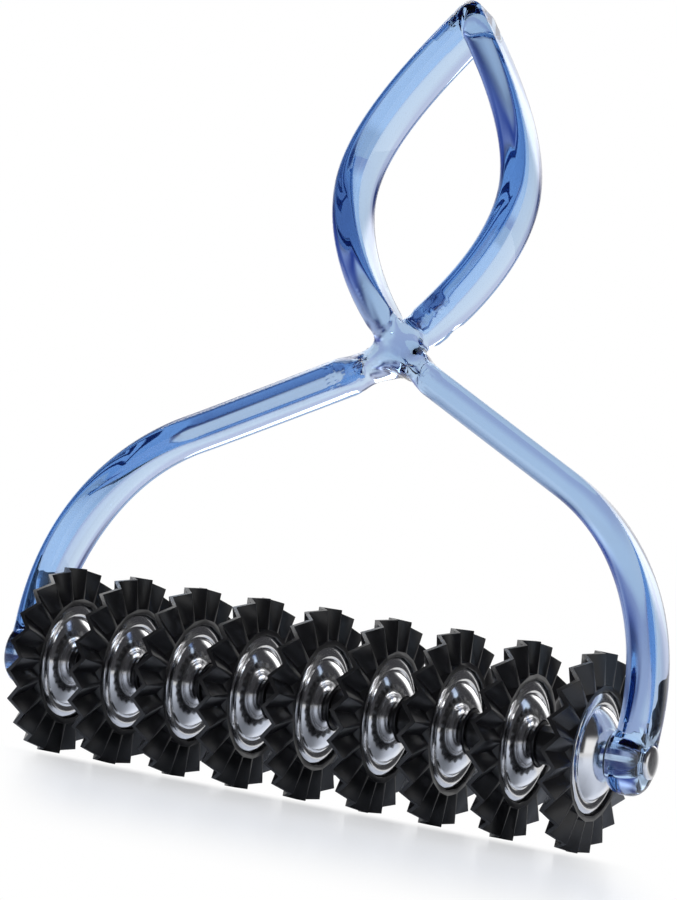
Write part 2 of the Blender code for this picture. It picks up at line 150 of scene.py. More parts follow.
class RollerHandle(PropertyGroup):
    """Sizes and finish of the handle."""

    bar_width: length("Bar width", "Thickness of the bar in the plane of the loop", 0.0066)
    bar_edge: length("Bar edge", "Radius of the bar's long edges", 0.003)
    foot_depth: length("Foot depth", "Depth of the bar at the axle", 0.0118)
    bend_depth: length("Bend depth", "Depth of the bar in the bend of an arm", 0.0133)
    arm_depth: length("Arm depth", "Depth of the bar in the straight run of an arm", 0.0117)
    loop_depth: length("Loop depth", "Depth of the bar in the loop", 0.0133)
    root_depth: length("Root depth", "Depth of the loop's bar where it leaves the crossing", 0.0092)
    root_width_share: share("Root width share", "Width of the loop's bar at the crossing", 0.9)
    root_flare_share: share("Root flare share", "Run in which the bar reaches its width", 0.5)
    boss_radius: length("Boss radius", "Radius of the boss at the foot of an arm", 0.0074)
    boss_gap: length("Boss gap", "Gap between the boss and the last dome", 0.0003)
    bore_clearance: length("Bore clearance", "Gap between the axle and its bore", 0.0003)
    bend_start: length("Bend start", "Height above the axle where the bend starts", 0.0078)
    bend_deepest: length("Bend deepest", "Height above the axle of the deepest bar", 0.03)
    shoulder_height: length("Shoulder height", "Height above the axle of the shoulder", 0.0546)
    shoulder_reach_share: share("Shoulder reach share", "Reach of the shoulder along the arm's reach", 0.634)
    foot_pull_share: share("Foot pull share", "Pull of the bend's lower end", 0.51)
    shoulder_pull_share: share("Shoulder pull share", "Pull of the bend's upper end", 0.37)
    cross_height: length("Crossing height", "Height above the axle of the crossing", 0.0787)
    cross_offset: length("Crossing offset", "How far each arm leaves the middle plane", 0.0008)
    head_clip: length("Head clip", "How much the arm's top corner is cut down", 0.0021)
    head_overrun: length("Head overrun", "How far an arm runs past the middle", 0.0028)
    run_steps: count("Run steps", "Steps of an arm's straight run", 12)
    head_steps: count("Head steps", "Steps of the head's rounded end", 4)
    joint_reach: length("Joint reach", "Reach of the softened joint round the crossing", 0.017)
    joint_width: length("Joint width", "Length of the mesh edges that are softened there", 0.0009)
    joint_rounds: count("Joint rounds", "Rounds of softening at the crossing", 24)
    tip_rounds: count("Tip rounds", "Rounds of softening at the tip of the loop", 36)
    tip_reach: length("Tip reach", "Reach of the softened joint round the tip", 0.009)
    strand_offset: length("Strand offset", "How far each strand starts from the middle plane", 0.0011)
    strand_root_reach: length("Strand root reach", "Reach of a strand's start inside the arm", 0.012)
    strand_pull_reach: length("Strand pull reach", "Reach of the strand's lower pull", 0.0037)
    strand_pull_rise: length("Strand pull rise", "Rise of the strand's lower pull", 0.0031)
    strand_full_rise: length("Strand full rise", "Rise at which a strand has its full depth", 0.0163)
    strand_pull_share: share("Strand pull share", "Pull of the strand's upper end", 0.43)
    widest_rise: length("Widest rise", "Rise from the crossing to the loop's widest place", 0.0381)
    half_width: length("Loop half width", "Half the loop's width between middle lines", 0.02)
    crown_pull_share: share("Crown pull share", "Pull of the crown's lower end", 0.36)
    tip_inner_rise: length("Tip inner rise", "Rise from the crossing to the inner corner of the tip", 0.073)
    tip_radius: length("Tip radius", "Radius of the tip's round nose", 0.0028)
    tip_slope: turn("Tip slope", "Slope of the bar where it reaches the tip", 54.5)
    tip_pull_share: share("Tip pull share", "Pull of the crown's upper end", 0.245)
    edge_segments: count("Edge segments", "Facets of each rounded long edge", 5)
    curve_points: count("Curve points", "Points along each curve of the bar", 56)
    tip_points: count("Tip points", "Points round the nose of the tip", 12)
    tint: colour("Tint", "Colour that the plastic keeps", (0.235, 0.496, 0.76))
    tint_density: FloatProperty(name="Tint density", description="Absorption per metre", default=107)
    index: FloatProperty(name="Refractive index", description="Index of the clear plastic", default=1.49)


class RollerWheels(PropertyGroup):
    """Sizes and finish of the wheels and spacers."""

    edge_round: length("Edge round", "Width of the small round on every edge", 0.00014)
    black: colour("Black", "Colour of the moulded wheels", (0.005, 0.005, 0.0062))


class RollerDomes(PropertyGroup):
    """Sizes and finish of the pressed steel domes."""

    sheet: length("Sheet", "Thickness of the sheet", 0.0005)
    brim_width: length("Brim width", "Width of the brim", 0.0023)
    crown_points: count("Crown points", "Points along the dome's crown", 14)
    brim_drop: length("Brim drop", "How much the brim falls towards its rim", 0.0003)
    groove_depth: length("Groove depth", "Depth of the groove inside the brim", 0.0002)
    hole_radius: length("Hole radius", "Radius of the hole round the hub", 0.005)
    pin_radius: length("Pin radius", "Radius of the axle's rounded ends", 0.0035)
    pin_points: count("Pin points", "Points along the round of an axle end", 10)
    facets: count("Facets", "Facets round a dome", 128)
    steel: colour("Steel", "Colour of the polished steel", (0.84, 0.84, 0.85))


class RollerStage(PropertyGroup):
    """Floor, lights and camera."""

    fall: turn("Fall", "Slope of the floor in front of the roller", 14)
    reach: length("Reach", "Reach of the floor from the roller", 3.0)
    # Painted shade: this lavender is the tint of the shade under the wheels, given as the floor's colour
    # near the roller; the floor's real lit shading shows in it
    floor_colour: colour("Floor colour", "Colour of the floor near the roller", (0.74, 0.8, 0.92))
    far_gloss: colour("Far gloss", "Colour of the far studio mirrored in metal", (0.05, 0.05, 0.055))
    # Floor share, horizon fade and the shade sizes below outline the painted shade patch under the wheels
    # that the camera sees on the floor; inside it the floor's real lit shading shows at this share
    floor_share: share("Floor share", "Share of the floor's own shading near the roller", 0.45)
    horizon_fade: length("Horizon fade", "Width in which the floor's shading starts", 0.008)
    shade_reach: length("Shade reach", "How far the floor's shading reaches in front of the roller", 0.095)
    shade_side: length("Shade side", "How far the floor's shading reaches to each side", 0.08)
    shade_front_share: share("Shade front share", "Part of that reach with the full shading", 0.35)
    shade_side_share: share("Shade side share", "Part of the side reach with the full shading", 0.7)
    shade_slant: FloatProperty(name="Shade slant", description="Sideways run of the shading", default=0.7)
    # Patch stretch, reach and fade: how far the floor shows its painted lavender shade colour with its real
    # lit shading to other rays, and behind the roller to the camera
    patch_stretch: share("Patch stretch", "Width of the floor's own colour across the depth", 0.6)
    patch_reach: length("Patch reach", "How far the floor keeps its own colour", 0.1)
    patch_fade: length("Patch fade", "Width in which the floor's colour runs out", 0.1)
    screen: window_edges("Screen", "White screen behind the roller", (-65, 14, 0, 45))
    strip: window_edges("Strip", "Strong lamp strip above the screen's right end", (-8, 14, 22, 45))
    side_box: window_edges("Side box", "Soft box on the right of the roller", (55, 120, -35, 20))
    soft_edge: turn("Soft edge", "Half width of the soft edges of the screen and the boxes", 5)
    strip_level: level("Strip level", "Brightness of the lamp strip", 2.2)
    light_turns: count("Light turns", "How often light may turn inside the clear bar", 20)
    plain_level: level("Plain level", "Level of the studio's even light", 0.85)
    floor_level: level("Floor level", "Brightness of the far floor mirrored in metal", 0.8)


class RollerViews(PropertyGroup):
    """Light and dark parts of the studio that only the clear plastic shows."""

    wall_colour: colour("Wall colour", "Colour of the studio wall", (0.776, 0.75, 0.872))
    table_colour: colour("Table colour", "Colour of the table", (1, 1, 1))
    dark: colour("Dark", "Colour of the dark parts", (0.035, 0.055, 0.19))
    board: window_edges("Board", "Dark board behind the roller", (-35, 35, 21, 36))
    camera_side: window_edges("Camera side", "Dark side of the studio, round the camera", (105, 190, 0, 90))
    ceiling: window_edges("Ceiling", "Dark ceiling on the left", (-140, -5, 45, 90))
    left_board: window_edges("Left board", "Dark board on the left", (-110, -70, 5, 20))
    left_beam: window_edges("Left beam", "Dark beam high on the left", (-135, -90, 17, 35))
    left_post: window_edges("Left post", "Dark post on the left, in front", (-130, -100, -10, 75))
    lower_board: window_edges("Lower board", "Dark strip under the board's right part", (10, 35, 12, 17))
    screen: window_edges("Screen", "White screen under the board, on the left", (-60, -5, 7, 27))
    screen_level: level("Screen level", "Brightness of the screen", 1.05)
    slit: window_edges("Slit", "Light slit through the board", (-21, -16, 27, 34))
    slit_level: level("Slit level", "Brightness of the slit", 1.2)
    front_lamp: window_edges("Front lamp", "Broad lamp in front, on the left", (160, 275, -25, 17))
    front_level: level("Front level", "Brightness of the front lamp", 1.4)
    right_lamp: window_edges("Right lamp", "Tall lamp on the right", (50, 105, 5, 65))
    right_level: level("Right level", "Brightness of the right lamp", 1.25)
    # Painted shade: the back, front and side patches are dark shade painted on the table, seen only through
    # the clear plastic; the lit patch is a painted pool of light there
    back_patch: table_patch("Back patch", "Dark table behind, on the left", (-0.11, 0.1, 0.1, 0.14))
    front_patch: table_patch("Front patch", "Dark table in front, on the left", (-0.12, -0.06, 0.2, 0.06))
    side_patch: table_patch("Side patch", "Dark table beside the right arm", (0.08, -0.01, 0.02, 0.055))
    lit_patch: table_patch("Lit patch", "Lit table behind, on the right", (0.25, 0.22, 0.28, 0.38))
    lit_level: level("Lit level", "Brightness of the lit table", 1.3)


# Selecting and shaping


def deselect():
    """Leave edit mode and select nothing."""
    if bpy.context.object and bpy.context.object.mode != "OBJECT":
        bpy.ops.object.mode_set(mode="OBJECT")
    bpy.ops.object.select_all(action="DESELECT")


def pick(item):
    """Make one object the only selected one, and the active one."""
    deselect()
    item.select_set(True)
    bpy.context.view_layer.objects.active = item
    return item


def open_mesh(item, action="SELECT"):
    """Enter an object's edit mode with all of its mesh selected, or none of it."""
    pick(item)
    bpy.ops.object.mode_set(mode="EDIT")
    bpy.ops.mesh.select_all(action=action)


def start_plane():
    """A new square on the origin, left in edit mode with all of it selected."""
    deselect()
    bpy.ops.mesh.primitive_plane_add(size=1)
    bpy.ops.object.mode_set(mode="EDIT")
    bpy.ops.mesh.select_all(action="SELECT")
    return bpy.context.object


def settle(item, name):
    """Name an object and move its place into its mesh."""
    pick(item)
    bpy.ops.object.transform_apply(location=True, rotation=True, scale=True)
    item.name = name
    item.data.name = name
    return item


def put_in_order(item):
    """Order the mesh's points, edges and faces by place, so that every run builds on the same mesh."""
    open_mesh(item)
    bpy.context.scene.cursor.location = ORDER_PLACE
    bpy.ops.mesh.sort_elements(type="CURSOR_DISTANCE", elements={"VERT", "EDGE", "FACE"})
    bpy.context.scene.cursor.location = (0, 0, 0)
    bpy.ops.object.mode_set(mode="OBJECT")
    return item


def clean(item, smooth_angle=35):
    """Merge doubles, point the faces outwards and shade the round parts smooth."""
    open_mesh(item)
    bpy.ops.mesh.remove_doubles(threshold=WELD_DISTANCE)
    bpy.ops.mesh.normals_make_consistent(inside=False)
    bpy.ops.object.mode_set(mode="OBJECT")
    bpy.ops.object.shade_smooth_by_angle(angle=math.radians(smooth_angle))
    return put_in_order(item)


def combine(target, tool, operation, crossing_itself=False):
    """Join a tool to a body, or cut it out of the body, and use the tool up."""
    pick(target)
    bpy.ops.object.modifier_add(type="BOOLEAN")
    modifier = target.modifiers[-1]
    modifier.operation = operation
    modifier.object = tool
    modifier.use_self = crossing_itself
    bpy.ops.object.modifier_apply(modifier=modifier.name)
    bpy.data.objects.remove(tool, do_unlink=True)
    return put_in_order(target)


def turned_copy(item, name):
    """A copy turned half round the upright through the middle."""
    pick(item)
    bpy.ops.object.duplicate()
    copy = bpy.context.object
    copy.rotation_euler.z = math.pi
    return settle(copy, name)


def finish_piece(piece, material, body, slot, *nodes):
    """Give a piece its material, its body and the frame nodes that it stands for."""
    piece.data.materials.clear()
    piece.data.materials.append(material)
    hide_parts(*nodes)
    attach(piece, body)
    return piece


# Swept bar


def start_section(width, depth, edge, segments):
    """A rounded rectangle flat on the origin, left in edit mode with all of it selected."""
    section = start_plane()
    bpy.ops.transform.resize(value=(width, depth, 1))
    bpy.ops.mesh.bevel(offset=edge, segments=segments, affect="VERTICES", clamp_overlap=False)
    bpy.ops.mesh.select_all(action="SELECT")
    return section


def station_matrix(station, width, depth):
    """The matrix that lays the flat section on a station of the bar."""
    lower, upper, station_depth, middle = station
    across = Vector((upper.x - lower.x, 0, upper.y - lower.y)) / width
    deep = Vector((0, station_depth / depth, 0))
    along = across.cross(deep)
    centre = (lower + upper) / 2
    rows = Matrix((across, deep, along)).transposed().to_4x4()
    return Matrix.Translation((centre.x, middle, AXLE_HEIGHT + centre.y)) @ rows


def move_selected(item, matrix):
    """Move the selected part of the mesh in edit mode."""
    shape = bmesh.from_edit_mesh(item.data)
    for vertex in shape.verts:
        if vertex.select:
            vertex.co = matrix @ vertex.co
    bmesh.update_edit_mesh(item.data)


def swept_bar(name, stations, sizes):
    """Extrude the bar's section from station to station."""
    width = sizes.bar_width
    depth = sizes.loop_depth
    bar = start_section(width, depth, sizes.bar_edge, sizes.edge_segments)
    placed = station_matrix(stations[0], width, depth)
    move_selected(bar, placed)
    for station in stations[1:]:
        bpy.ops.mesh.extrude_region_move()
        following = station_matrix(station, width, depth)
        move_selected(bar, following @ placed.inverted())
        placed = following
    bpy.ops.object.mode_set(mode="OBJECT")
    settle(bar, name)
    return clean(bar)


def square_stations(route, widths, depths, middles):
    """Stations that cut a route of XZ points squarely."""
    stations = []
    last = len(route) - 1
    for index, place in enumerate(route):
        ahead = route[min(index + 1, last)] - route[max(index - 1, 0)]
        side = Vector((-ahead.y, ahead.x)).normalized() * (widths[index] / 2)
        stations.append((place - side, place + side, depths[index], middles[index]))
    return stations


def blend(low, high, amount):
    """A value that runs smoothly from low to high as the amount runs from 0 to 1."""
    held = min(max(amount, 0), 1)
    return low + (high - low) * held * held * (3 - 2 * held)


def mirrored(stations):
    """The same stations on the other side, and behind instead of in front."""
    result = []
    for lower, upper, depth, middle in stations:
        result.append((Vector((-lower.x, lower.y)), Vector((-upper.x, upper.y)), depth, -middle))
    return result


class ArmRoute:
    """The right arm's route, with heights measured from the axle."""

    def __init__(self, sizes):
        self.sizes = sizes
        self.reach = ARM_OUTER - sizes.bar_width / 2
        self.shoulder_reach = self.reach * sizes.shoulder_reach_share
        self.slope = (sizes.cross_height - sizes.shoulder_height) / self.shoulder_reach
        self.half_height = sizes.bar_width / 2 * math.hypot(1, self.slope)
        self.clip_reach = sizes.head_clip / self.slope

    def height_at(self, reach):
        """Height of the straight run at a distance from the middle."""
        return self.sizes.cross_height - self.slope * reach

    def depth_at(self, height):
        """The arm is deepest in its bend and slimmer at its foot and its straight run."""
        sizes = self.sizes
        if height < sizes.bend_deepest:
            return blend(sizes.foot_depth, sizes.bend_depth, height / sizes.bend_deepest)
        slimming = (height - sizes.bend_deepest) / (sizes.shoulder_height - sizes.bend_deepest)
        return blend(sizes.bend_depth, sizes.arm_depth, slimming)

    def points(self):
        """Points from the axle up the bend and along the straight run."""
        sizes = self.sizes
        shoulder = Vector((self.shoulder_reach, sizes.shoulder_height))
        bend_start = Vector((self.reach, sizes.bend_start))
        foot_pull = Vector((self.reach, sizes.shoulder_height * sizes.foot_pull_share))
        pull_reach = self.shoulder_reach * (1 + sizes.shoulder_pull_share)
        shoulder_pull = Vector((pull_reach, self.height_at(pull_reach)))
        bend = interpolate_bezier(bend_start, foot_pull, shoulder_pull, shoulder, sizes.curve_points)
        run_end = Vector((2 * self.clip_reach, self.height_at(2 * self.clip_reach)))
        run = [shoulder.lerp(run_end, (step + 1) / sizes.run_steps) for step in range(sizes.run_steps)]
        return [Vector((self.reach, 0))] + bend + run

    def stations(self):
        """Stations of the whole arm, ended by its clipped head just past the middle."""
        sizes = self.sizes
        route = self.points()
        depths = [self.depth_at(place.y) for place in route]
        middles = []
        for place in route:
            cross_share = max(1 - place.x / self.shoulder_reach, 0)
            middles.append(-sizes.cross_offset * math.sqrt(cross_share))
        stations = square_stations(route, [sizes.bar_width] * len(route), depths, middles)
        head_top = self.height_at(self.clip_reach) + self.half_height
        head_end = sizes.bar_edge - sizes.head_overrun
        insets = [(self.clip_reach, 0), (head_end, 0)]
        for step in range(1, sizes.head_steps + 1):
            angle = math.radians(90) * step / (sizes.head_steps + 0.5)
            inset = sizes.bar_edge * (1 - math.cos(angle))
            insets.append((head_end - sizes.bar_edge * math.sin(angle), inset))
        for reach, inset in insets:
            lower = Vector((reach, self.height_at(reach) - self.half_height + inset))
            upper = Vector((reach, head_top - inset))
            stations.append((lower, upper, sizes.arm_depth - 2 * inset, -sizes.cross_offset))
        return stations


def strand_points(sizes, arm):
    """Half of the loop's middle line, from inside the right arm up the left side to the tip."""
    root = Vector((sizes.strand_root_reach, arm.height_at(sizes.strand_root_reach)))
    root_pull = Vector((-sizes.strand_pull_reach, sizes.cross_height + sizes.strand_pull_rise))
    widest = Vector((-sizes.half_width, sizes.cross_height + sizes.widest_rise))
    widest_pull = widest - Vector((0, sizes.widest_rise * sizes.strand_pull_share))
    lower = interpolate_bezier(root, root_pull, widest_pull, widest, sizes.curve_points)
    tip_height = sizes.cross_height + sizes.tip_inner_rise + sizes.bar_width / 2 / math.cos(sizes.tip_slope)
    tip = Vector((0, tip_height))
    crown_rise = tip.y - widest.y
    crown_pull = widest + Vector((0, crown_rise * sizes.crown_pull_share))
    slope = Vector((math.cos(sizes.tip_slope), math.sin(sizes.tip_slope)))
    tip_pull = tip - slope * crown_rise * sizes.tip_pull_share
    return lower + interpolate_bezier(widest, crown_pull, tip_pull, tip, sizes.curve_points)[1:]


def strand_stations(sizes, arm):
    """Stations of half the loop, ended at the tip by a fan about its sharp inner corner."""
    route = strand_points(sizes, arm)
    root_height = route[0].y
    widths = []
    depths = []
    middles = []
    for place in route:
        rise = (place.y - root_height) / (sizes.cross_height + sizes.strand_full_rise - root_height)
        widths.append(sizes.bar_width * blend(sizes.root_width_share, 1, rise / sizes.root_flare_share))
        depths.append(blend(sizes.root_depth, sizes.loop_depth, rise))
        bend_rise = (place.y - root_height) / (sizes.cross_height + sizes.widest_rise - root_height)
        middles.append(-sizes.strand_offset * (1 - blend(0, 1, bend_rise)))
    stations = square_stations(route, widths, depths, middles)
    fan_start = sizes.bar_width * math.sin(sizes.tip_slope)
    while stations[-1][1].x > -fan_start:
        stations.pop()
    last_lower = stations[-1][0]
    corner = Vector((0, sizes.cross_height + sizes.tip_inner_rise))
    sharp_height = corner.y + sizes.bar_width / math.cos(sizes.tip_slope)
    centre = Vector((0, sharp_height - sizes.tip_radius / math.cos(sizes.tip_slope)))
    for step in range(1, sizes.tip_points + 1):
        amount = step / sizes.tip_points
        angle = math.radians(90) + sizes.tip_slope * (1 - amount)
        upper = centre + Vector((math.cos(angle), math.sin(angle))) * sizes.tip_radius
        stations.append((last_lower.lerp(corner, amount), upper, sizes.loop_depth, 0))
    return stations


def soften_joint(item, centre, reach, width, rounds):
    """Round the creases of a joint by relaxing the mesh within reach of its centre."""
    open_mesh(item, "DESELECT")
    bpy.ops.mesh.select_mode(type="VERT")
    shape = bmesh.from_edit_mesh(item.data)
    bmesh.ops.triangulate(shape, faces=[face for face in shape.faces if near(face, centre, reach)])
    for step in range(JOINT_HALVINGS):
        shape.edges.index_update()
        lines = set()
        for face in shape.faces:
            if near(face, centre, reach):
                lines.update(line for line in face.edges if line.calc_length() > width * LONG_EDGE_SHARE)
        bmesh.ops.subdivide_edges(shape, edges=sorted(lines, key=lambda line: line.index), cuts=1)
        bmesh.ops.triangulate(shape, faces=[face for face in shape.faces if len(face.verts) > 3])
    creased = set()
    for line in shape.edges:
        if len(line.link_faces) == 2 and line.calc_face_angle() > CREASE_ANGLE:
            if (line.verts[0].co - centre).length < reach:
                creased.update(line.verts)
    for vertex in shape.verts:
        vertex.select = vertex in creased
    shape.select_flush(True)
    bmesh.update_edit_mesh(item.data)
    for step in range(CREASE_SPREAD):
        bpy.ops.mesh.select_more()
    bpy.ops.mesh.vertices_smooth(factor=SMOOTH_FACTOR, repeat=rounds)
    bpy.ops.object.mode_set(mode="OBJECT")
    return clean(item)


def near(face, centre, reach):
    """Whether a face's middle is within reach of a centre."""
    return (face.calc_center_median() - centre).length < reach


def disc(name, radius, start, end, edge, facets=64):
    """A solid disc along the axle with eased rims."""
    deselect()
    bpy.ops.mesh.primitive_cylinder_add(
        vertices=facets,
        radius=radius,
        depth=end - start,
        location=((start + end) / 2, 0, AXLE_HEIGHT),
        rotation=(0, math.pi / 2, 0),
    )
    item = settle(bpy.context.object, name)
    if edge:
        open_mesh(item, "DESELECT")
        shape = bmesh.from_edit_mesh(item.data)
        for line in shape.edges:
            line.select = abs(line.verts[0].co.x - line.verts[1].co.x) < WELD_DISTANCE
        bmesh.update_edit_mesh(item.data)
        bpy.ops.mesh.bevel(offset=edge, segments=RIM_SEGMENTS, affect="EDGES")
        bpy.ops.object.mode_set(mode="OBJECT")
    return clean(item)


# Finishes


def new_material(name):
    """A material with its node tree, its shader and its object coordinates."""
    material = bpy.data.materials.new(name)
    material.use_nodes = True
    tree = material.node_tree
    shader = tree.nodes["Principled BSDF"]
    places = tree.nodes.new("ShaderNodeTexCoord")
    return material, tree, shader, places.outputs["Object"]


def noise(tree, places, scale, detail=2.0):
    """Noise in cells of 1 / scale metres."""
    node = tree.nodes.new("ShaderNodeTexNoise")
    node.inputs["Scale"].default_value = scale
    node.inputs["Detail"].default_value = detail
    tree.links.new(places, node.inputs["Vector"])
    return node.outputs["Fac"]


def ranged(tree, value, low, high):
    """A value between 0 and 1 stretched to run from low to high."""
    node = tree.nodes.new("ShaderNodeMapRange")
    node.inputs["To Min"].default_value = low
    node.inputs["To Max"].default_value = high
    tree.links.new(value, node.inputs["Value"])
    return node.outputs["Result"]


def worked(tree, operation, first, second):
    """Two values put through one sum."""
    node = tree.nodes.new("ShaderNodeMath")
    node.operation = operation
    for socket, value in zip(node.inputs, (first, second)):
        if isinstance(value, (int, float)):
            socket.default_value = value
        else:
            tree.links.new(value, socket)
    return node.outputs["Value"]


def vector_worked(tree, operation, vector, constant=(0, 0, 0)):
    """The results of one sum on a vector and a constant one."""
    node = tree.nodes.new("ShaderNodeVectorMath")
    node.operation = operation
    node.inputs[1].default_value = constant
    tree.links.new(vector, node.inputs[0])
    return node.outputs


def colour_between(tree, shader, amount, first, second):
    """Colour a surface from the first colour to the second as the amount runs from 0 to 1."""
    shade = tree.nodes.new("ShaderNodeMix")
    shade.data_type = "RGBA"
    shade.inputs["A"].default_value = (*first, 1.0)
    shade.inputs["B"].default_value = (*second, 1.0)
    tree.links.new(amount, shade.inputs["Factor"])
    tree.links.new(shade.outputs["Result"], shader.inputs["Base Color"])


def bump(tree, shader, height, depth):
    """Raise the surface by a height that runs from 0 to 1, over a depth in metres."""
    node = tree.nodes.new("ShaderNodeBump")
    node.inputs["Distance"].default_value = depth
    tree.links.new(height, node.inputs["Height"])
    tree.links.new(node.outputs["Normal"], shader.inputs["Normal"])
    return node


def clear_blue_plastic(sizes):
    """Clear blue moulded plastic, deeper in colour the longer light runs inside it."""
    shade_scale = 60.0
    haze_scale = 180.0
    wave_scale = 70.0
    wave_depth = 0.00002
    material, tree, shader, places = new_material("clear_blue_plastic")
    colour_between(tree, shader, noise(tree, places, shade_scale), (0.93, 0.96, 1.0), (1.0, 1.0, 1.0))
    shader.inputs["Transmission Weight"].default_value = 1.0
    shader.inputs["IOR"].default_value = sizes.index
    rough = ranged(tree, noise(tree, places, haze_scale), 0.0, 0.03)
    tree.links.new(rough, shader.inputs["Roughness"])
    bump(tree, shader, noise(tree, places, wave_scale, 1.0), wave_depth)
    absorb = tree.nodes.new("ShaderNodeVolumeAbsorption")
    absorb.inputs["Color"].default_value = (*sizes.tint, 1.0)
    absorb.inputs["Density"].default_value = sizes.tint_density
    tree.links.new(absorb.outputs["Volume"], tree.nodes["Material Output"].inputs["Volume"])
    return material


def black_plastic(sizes):
    """Black moulded plastic with a faint sheen that varies over the surface."""
    shade_scale = 260.0
    sheen_scale = 420.0
    grain_scale = 2600.0
    grain_depth = 0.000012
    pale_share = 1.8
    material, tree, shader, places = new_material("black_plastic")
    pale = [pale_share * part for part in sizes.black]
    colour_between(tree, shader, noise(tree, places, shade_scale, 3.0), sizes.black, pale)
    tree.links.new(ranged(tree, noise(tree, places, sheen_scale), 0.26, 0.42), shader.inputs["Roughness"])
    bump(tree, shader, noise(tree, places, grain_scale, 3.0), grain_depth)
    return material


def turned_steel(name, sizes, rough_low, rough_high, line_scale):
    """Polished steel with fine lines that run round the axle."""
    shade_scale = 320.0
    dark_share = 0.9
    line_depth = 0.0000015
    material, tree, shader, places = new_material(name)
    shader.inputs["Metallic"].default_value = 1.0
    split = tree.nodes.new("ShaderNodeSeparateXYZ")
    tree.links.new(places, split.inputs["Vector"])
    rise = worked(tree, "SUBTRACT", split.outputs["Z"], AXLE_HEIGHT)
    radial = tree.nodes.new("ShaderNodeCombineXYZ")
    tree.links.new(split.outputs["Y"], radial.inputs["X"])
    tree.links.new(rise, radial.inputs["Y"])
    radius = vector_worked(tree, "LENGTH", radial.outputs["Vector"])["Value"]
    rings = tree.nodes.new("ShaderNodeCombineXYZ")
    tree.links.new(radius, rings.inputs["X"])
    tree.links.new(split.outputs["X"], rings.inputs["Y"])
    lines = noise(tree, rings.outputs["Vector"], line_scale, 4.0)
    dark = [dark_share * part for part in sizes.steel]
    colour_between(tree, shader, noise(tree, places, shade_scale), dark, sizes.steel)
    tree.links.new(ranged(tree, lines, rough_low, rough_high), shader.inputs["Roughness"])
    bump(tree, shader, lines, line_depth)
    return material


# Handle


class ROLLER_OT_handle(Operator):
    """Model the looped handle in clear blue plastic"""

    bl_idname = "roller.handle"
    bl_label = "Handle"

    def execute(self, context):
        sizes = context.scene.roller_handle
        arm = ArmRoute(sizes)
        half = strand_stations(sizes, arm)
        handle = swept_bar("handle", half + mirrored(reversed(half[:-1])), sizes)
        arm_right = swept_bar("arm_right", arm.stations(), sizes)
        boss = disc("boss", sizes.boss_radius, LAST_DOME_TOP + sizes.boss_gap, ARM_OUTER, sizes.bar_edge)
        combine(arm_right, boss, "UNION")
        bore_radius = (AXLE_HIGH.z - AXLE_LOW.z) / 2 + sizes.bore_clearance
        bore = disc("bore", bore_radius, start=0, end=CAP_HIGH.x, edge=0, facets=48)
        combine(arm_right, bore, "DIFFERENCE")
        clean(arm_right)
        arm_left = turned_copy(arm_right, "arm_left")
        for tool in (arm_right, arm_left):
            combine(handle, tool, "UNION", crossing_itself=True)
        crossing = Vector((0, 0, AXLE_HEIGHT + sizes.cross_height))
        soften_joint(handle, crossing, sizes.joint_reach, sizes.joint_width, sizes.joint_rounds)
        tip = Vector((0, 0, AXLE_HEIGHT + sizes.cross_height + sizes.tip_inner_rise + sizes.bar_width / 2))
        soften_joint(handle, tip, sizes.tip_reach, sizes.joint_width, sizes.tip_rounds)
        clean(handle)
        finish_piece(handle, clear_blue_plastic(sizes), "frame", "clear_blue_plastic", "handle_frame")
        return {"FINISHED"}


# Wheels and spacers


def softened_copy(node, name, edge_round):
    """A copy of a frame node with its flat faces whole again and every edge slightly round."""
    copy = bpy.data.objects.new(name, frame["nodes"][node].data.copy())
    bpy.context.scene.collection.objects.link(copy)
    open_mesh(copy)
    bpy.ops.mesh.remove_doubles(threshold=WELD_DISTANCE)
    bpy.ops.mesh.dissolve_limited(angle_limit=FLAT_ANGLE)
    bpy.ops.object.mode_set(mode="OBJECT")
    bpy.ops.object.modifier_add(type="BEVEL")
    bevel = copy.modifiers[-1]
    bevel.width = edge_round
    bevel.segments = ROUND_SEGMENTS
    bevel.limit_method = "ANGLE"
    bevel.angle_limit = ROUND_ANGLE
    bevel.harden_normals = True
    bpy.ops.object.modifier_apply(modifier=bevel.name)
    bpy.ops.object.shade_smooth_by_angle(angle=ROUND_ANGLE)
    return copy


def trimmed(wheel, end):
    """Cut a wheel's outer hub end flush with its dome."""
    open_mesh(wheel)
    outwards = (math.copysign(1, end), 0, 0)
    bpy.ops.mesh.bisect(plane_co=(end, 0, 0), plane_no=outwards, clear_outer=True, use_fill=True)
    bpy.ops.object.mode_set(mode="OBJECT")
    return wheel


class ROLLER_OT_wheels(Operator):
    """Model the nine fluted wheels in black plastic"""

    bl_idname = "roller.wheels"
    bl_label = "Wheels"

    def execute(self, context):
        sizes = context.scene.roller_wheels
        material = black_plastic(sizes)
        for index in range(WHEEL_COUNT):
            number = str(index + 1)
            node = "cutter_wheel_" + number
            wheel = softened_copy(node, "fluted_wheel_" + number, sizes.edge_round)
            if index == 0:
                trimmed(wheel, -LAST_DOME_TOP)
            if index == WHEEL_COUNT - 1:
                trimmed(wheel, LAST_DOME_TOP)
            finish_piece(wheel, material, "wheel_" + number, "black_plastic", node)
        for index in range(WHEEL_COUNT - 1):
            node = "spacer_" + str(index + 1)
            spacer = softened_copy(node, "hub_" + node, sizes.edge_round)
            finish_piece(spacer, material, "frame", "black_plastic", node)
        return {"FINISHED"}


# Domes


def polyline(name, points):
    """A line of points in the XZ plane, drawn by extruding one point to the next."""
    line = start_plane()
    bpy.ops.mesh.merge(type="CENTER")
    move_selected(line, Matrix.Translation((points[0][0], 0, points[0][1])))
    for (x, z), (next_x, next_z) in zip(points, points[1:]):
        bpy.ops.mesh.extrude_region_move()
        move_selected(line, Matrix.Translation((next_x - x, 0, next_z - z)))
    bpy.ops.object.mode_set(mode="OBJECT")
    line.name = name
    return line


